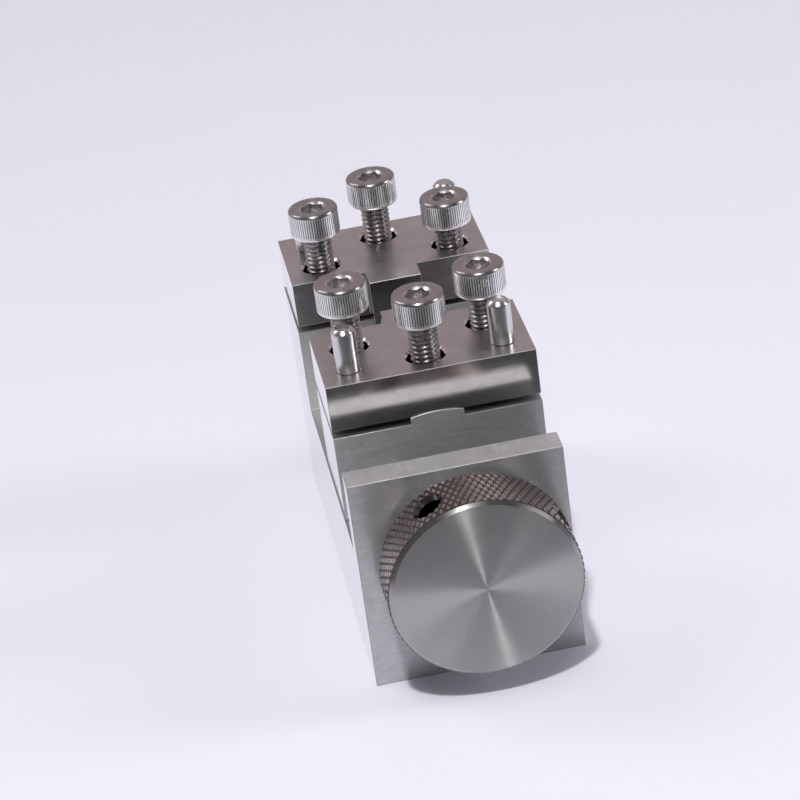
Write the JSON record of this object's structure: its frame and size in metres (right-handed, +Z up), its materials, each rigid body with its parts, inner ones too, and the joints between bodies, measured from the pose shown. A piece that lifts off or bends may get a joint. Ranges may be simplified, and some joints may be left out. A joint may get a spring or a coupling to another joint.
{
  "type": "watch movement holder",
  "caption": "Small steel screw vise for holding watch movements, with rocking pinned jaw plates, socket head screws and a knurled knob.",
  "frame": {"origin": "on the surface it stands on, in the middle of its overall width and of its overall length with the knob", "axes": "+Z up; +Y from the knob back to the fixed jaw; +X to the right when facing the knob"},
  "size_m": [0.0286, 0.07, 0.0485],
  "materials": {
    "ground_steel": "ground stainless steel, fine straight grain, satin gloss",
    "knurled_steel": "lathe turned stainless steel, fine circular grain on the face, diamond knurled rim",
    "screw_steel": "plain stainless fasteners, straight knurled heads, rolled threads",
    "pin_steel": "ground and polished hardened pins",
    "dark_steel": "blackened steel, matt",
    "bronze": "plain bearing bronze, satin"
  },
  "bodies": {
    "base": {"base_frame": "ground_steel"},
    "drive": {"knob": "knurled_steel", "drive_screw": "screw_steel", "thrust_washer": "bronze", "thrust_collar": "dark_steel", "collar_pin": "pin_steel", "knob_grub_screw": "dark_steel"},
    "slider": {"moving_block": "ground_steel", "keeper_plate": "dark_steel", "keeper_screw_front": "screw_steel", "keeper_screw_rear": "screw_steel"},
    "front_jaw": {"front_jaw_plate": "ground_steel", "front_jaw_pin_left": "pin_steel", "front_jaw_pin_right": "pin_steel"},
    "rear_jaw": {"rear_jaw_plate": "ground_steel", "rear_jaw_pin_left": "pin_steel", "rear_jaw_pin_right": "pin_steel"},
    "front_screw_left": {"front_jaw_screw_left": "screw_steel"},
    "front_screw_middle": {"front_jaw_screw_middle": "screw_steel"},
    "front_screw_right": {"front_jaw_screw_right": "screw_steel"},
    "rear_screw_left": {"rear_jaw_screw_left": "screw_steel"},
    "rear_screw_middle": {"rear_jaw_screw_middle": "screw_steel"},
    "rear_screw_right": {"rear_jaw_screw_right": "screw_steel"}
  },
  "joints": [
    {"name": "knob_turn", "type": "hinge", "parent": "base", "child": "drive", "pos_m": [0.001, -0.026, 0.017], "axis": [0, 1, 0], "range_deg": [-1732, 3244]},
    {"name": "block_slide", "type": "slide", "parent": "base", "child": "slider", "axis": [0, 1, 0], "range_m": [-0.0048, 0.009]},
    {"name": "front_jaw_rock", "type": "hinge", "parent": "slider", "child": "front_jaw", "pos_m": [0, -0.0061, 0.01695], "axis": [0, 1, 0], "range_deg": [-1.2, 1.2]},
    {"name": "rear_jaw_rock", "type": "hinge", "parent": "base", "child": "rear_jaw", "pos_m": [0, 0.02695, 0.01695], "axis": [0, 1, 0], "range_deg": [-1.2, 1.2]},
    {"name": "front_screw_left_travel", "type": "slide", "parent": "slider", "child": "front_screw_left", "axis": [0, 0, 1], "range_m": [-0.00525, 0.0025]},
    {"name": "front_screw_middle_travel", "type": "slide", "parent": "slider", "child": "front_screw_middle", "axis": [0, 0, 1], "range_m": [-0.00475, 0.0025]},
    {"name": "front_screw_right_travel", "type": "slide", "parent": "slider", "child": "front_screw_right", "axis": [0, 0, 1], "range_m": [-0.00425, 0.0025]},
    {"name": "rear_screw_left_travel", "type": "slide", "parent": "base", "child": "rear_screw_left", "axis": [0, 0, 1], "range_m": [-0.00475, 0.0025]},
    {"name": "rear_screw_middle_travel", "type": "slide", "parent": "base", "child": "rear_screw_middle", "axis": [0, 0, 1], "range_m": [-0.00505, 0.0025]},
    {"name": "rear_screw_right_travel", "type": "slide", "parent": "base", "child": "rear_screw_right", "axis": [0, 0, 1], "range_m": [-0.00285, 0.0025]}
  ],
  "couplings": [
    {"joint": "knob_turn", "follows": "block_slide", "rad_per_m": 6283.2}
  ]
}
